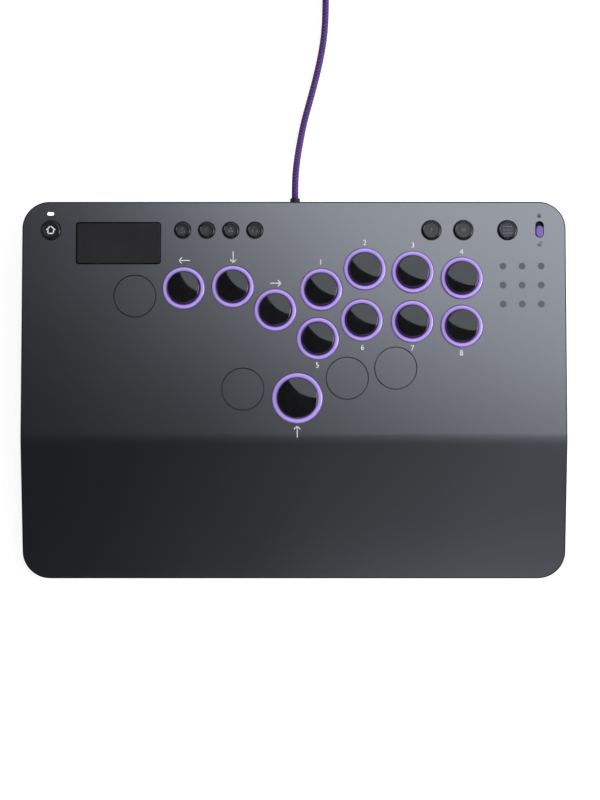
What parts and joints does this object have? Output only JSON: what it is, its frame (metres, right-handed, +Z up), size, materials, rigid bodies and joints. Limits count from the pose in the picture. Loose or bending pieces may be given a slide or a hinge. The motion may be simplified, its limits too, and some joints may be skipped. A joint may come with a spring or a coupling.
{
  "type": "leverless arcade controller",
  "caption": "Slim desktop arcade controller with domed push buttons in lit rings, touchpad, lock switch, sloped palm rest and braided cable.",
  "frame": {"origin": "middle of the body's footprint, on the surface that its rubber feet stand on", "axes": "+X to the right along the long side, +Y to the back edge where the cable leaves, +Z up"},
  "size_m": [0.4, 0.5248, 0.034],
  "materials": {
    "panel_metal": "dark anodised sheet, satin bead-blasted",
    "tray_plastic": "black moulded plastic, fine texture",
    "foot_rubber": "black rubber, ribbed",
    "screw_steel": "zinc-plated, blackened",
    "board_laminate": "green solder mask",
    "chip_epoxy": "moulded epoxy",
    "switch_plastic": "black nylon",
    "spring_steel": "bright drawn wire",
    "lamp_resin": "clear resin over a lamp chip",
    "ring_acrylic": "translucent violet acrylic, lit from below",
    "guide_acrylic": "clear acrylic, lit white",
    "cap_gloss": "polished black, domed",
    "stem_plastic": "violet acetal",
    "button_plastic": "dark grey, satin",
    "pad_plastic": "black, fine etched",
    "knob_plastic": "violet, satin",
    "plug_plastic": "black overmoulding",
    "cord_braid": "violet braided sleeve",
    "tie_fabric": "black hook-and-loop tape",
    "contact_metal": "nickel-plated shell"
  },
  "bodies": {
    "case": {"top_panel": "panel_metal", "bottom_tray": "tray_plastic", "rubber_feet": "foot_rubber", "case_screws": "screw_steel", "main_board": "board_laminate", "board_screws": "screw_steel", "board_chips": "chip_epoxy", "switch_housings": "switch_plastic", "switch_springs": "spring_steel", "ring_leds": "lamp_resin", "small_light_rings": "ring_acrylic", "large_light_ring": "ring_acrylic", "blanking_plugs": "panel_metal", "tact_switches": "switch_plastic", "lock_switch_body": "switch_plastic", "status_light_guide": "guide_acrylic", "usb_c_receptacle": "contact_metal", "headset_jack": "switch_plastic", "usb_c_plug": "plug_plastic", "usb_cord": "cord_braid", "usb_cord_coil": "cord_braid", "cord_tie": "tie_fabric", "usb_a_plug": "plug_plastic", "usb_a_shell": "contact_metal"},
    "button_left": {"cap_left": "cap_gloss", "stem_left": "stem_plastic"},
    "button_down": {"cap_down": "cap_gloss", "stem_down": "stem_plastic"},
    "button_right": {"cap_right": "cap_gloss", "stem_right": "stem_plastic"},
    "button_up": {"cap_up": "cap_gloss", "stem_up": "stem_plastic"},
    "button_1": {"cap_1": "cap_gloss", "stem_1": "stem_plastic"},
    "button_2": {"cap_2": "cap_gloss", "stem_2": "stem_plastic"},
    "button_3": {"cap_3": "cap_gloss", "stem_3": "stem_plastic"},
    "button_4": {"cap_4": "cap_gloss", "stem_4": "stem_plastic"},
    "button_5": {"cap_5": "cap_gloss", "stem_5": "stem_plastic"},
    "button_6": {"cap_6": "cap_gloss", "stem_6": "stem_plastic"},
    "button_7": {"cap_7": "cap_gloss", "stem_7": "stem_plastic"},
    "button_8": {"cap_8": "cap_gloss", "stem_8": "stem_plastic"},
    "home_button": {"home_button": "button_plastic"},
    "function_button_1": {"function_button_1": "button_plastic"},
    "function_button_2": {"function_button_2": "button_plastic"},
    "function_button_3": {"function_button_3": "button_plastic"},
    "function_button_4": {"function_button_4": "button_plastic"},
    "stick_button_left": {"stick_button_left": "button_plastic"},
    "stick_button_right": {"stick_button_right": "button_plastic"},
    "menu_button": {"menu_button": "button_plastic"},
    "touchpad": {"touch_plate": "pad_plastic", "touch_sensor_board": "board_laminate", "touch_carrier": "switch_plastic"},
    "lock": {"lock_knob": "knob_plastic"}
  },
  "joints": [
    {"name": "press_left", "type": "slide", "parent": "case", "child": "button_left", "axis": [0, 0, -1], "range_m": [0, 0.003], "stiffness_N_per_m": 100, "springref_m": -0.0035, "deforming": ["switch_springs"]},
    {"name": "press_down", "type": "slide", "parent": "case", "child": "button_down", "axis": [0, 0, -1], "range_m": [0, 0.003], "stiffness_N_per_m": 100, "springref_m": -0.0035, "deforming": ["switch_springs"]},
    {"name": "press_right", "type": "slide", "parent": "case", "child": "button_right", "axis": [0, 0, -1], "range_m": [0, 0.003], "stiffness_N_per_m": 100, "springref_m": -0.0035, "deforming": ["switch_springs"]},
    {"name": "press_up", "type": "slide", "parent": "case", "child": "button_up", "axis": [0, 0, -1], "range_m": [0, 0.003], "stiffness_N_per_m": 100, "springref_m": -0.0035, "deforming": ["switch_springs"]},
    {"name": "press_1", "type": "slide", "parent": "case", "child": "button_1", "axis": [0, 0, -1], "range_m": [0, 0.003], "stiffness_N_per_m": 100, "springref_m": -0.0035, "deforming": ["switch_springs"]},
    {"name": "press_2", "type": "slide", "parent": "case", "child": "button_2", "axis": [0, 0, -1], "range_m": [0, 0.003], "stiffness_N_per_m": 100, "springref_m": -0.0035, "deforming": ["switch_springs"]},
    {"name": "press_3", "type": "slide", "parent": "case", "child": "button_3", "axis": [0, 0, -1], "range_m": [0, 0.003], "stiffness_N_per_m": 100, "springref_m": -0.0035, "deforming": ["switch_springs"]},
    {"name": "press_4", "type": "slide", "parent": "case", "child": "button_4", "axis": [0, 0, -1], "range_m": [0, 0.003], "stiffness_N_per_m": 100, "springref_m": -0.0035, "deforming": ["switch_springs"]},
    {"name": "press_5", "type": "slide", "parent": "case", "child": "button_5", "axis": [0, 0, -1], "range_m": [0, 0.003], "stiffness_N_per_m": 100, "springref_m": -0.0035, "deforming": ["switch_springs"]},
    {"name": "press_6", "type": "slide", "parent": "case", "child": "button_6", "axis": [0, 0, -1], "range_m": [0, 0.003], "stiffness_N_per_m": 100, "springref_m": -0.0035, "deforming": ["switch_springs"]},
    {"name": "press_7", "type": "slide", "parent": "case", "child": "button_7", "axis": [0, 0, -1], "range_m": [0, 0.003], "stiffness_N_per_m": 100, "springref_m": -0.0035, "deforming": ["switch_springs"]},
    {"name": "press_8", "type": "slide", "parent": "case", "child": "button_8", "axis": [0, 0, -1], "range_m": [0, 0.003], "stiffness_N_per_m": 100, "springref_m": -0.0035, "deforming": ["switch_springs"]},
    {"name": "press_home_button", "type": "slide", "parent": "case", "child": "home_button", "axis": [0, 0, -1], "range_m": [0, 0.0006], "stiffness_N_per_m": 400, "springref_m": -0.001},
    {"name": "press_function_button_1", "type": "slide", "parent": "case", "child": "function_button_1", "axis": [0, 0, -1], "range_m": [0, 0.0006], "stiffness_N_per_m": 400, "springref_m": -0.001},
    {"name": "press_function_button_2", "type": "slide", "parent": "case", "child": "function_button_2", "axis": [0, 0, -1], "range_m": [0, 0.0006], "stiffness_N_per_m": 400, "springref_m": -0.001},
    {"name": "press_function_button_3", "type": "slide", "parent": "case", "child": "function_button_3", "axis": [0, 0, -1], "range_m": [0, 0.0006], "stiffness_N_per_m": 400, "springref_m": -0.001},
    {"name": "press_function_button_4", "type": "slide", "parent": "case", "child": "function_button_4", "axis": [0, 0, -1], "range_m": [0, 0.0006], "stiffness_N_per_m": 400, "springref_m": -0.001},
    {"name": "press_stick_button_left", "type": "slide", "parent": "case", "child": "stick_button_left", "axis": [0, 0, -1], "range_m": [0, 0.0006], "stiffness_N_per_m": 400, "springref_m": -0.001},
    {"name": "press_stick_button_right", "type": "slide", "parent": "case", "child": "stick_button_right", "axis": [0, 0, -1], "range_m": [0, 0.0006], "stiffness_N_per_m": 400, "springref_m": -0.001},
    {"name": "press_menu_button", "type": "slide", "parent": "case", "child": "menu_button", "axis": [0, 0, -1], "range_m": [0, 0.0006], "stiffness_N_per_m": 400, "springref_m": -0.001},
    {"name": "press_touchpad", "type": "slide", "parent": "case", "child": "touchpad", "axis": [0, 0, -1], "range_m": [0, 0.0005], "stiffness_N_per_m": 600, "springref_m": -0.001},
    {"name": "slide_lock", "type": "slide", "parent": "case", "child": "lock", "axis": [0, 1, 0], "range_m": [0, 0.003]}
  ]
}
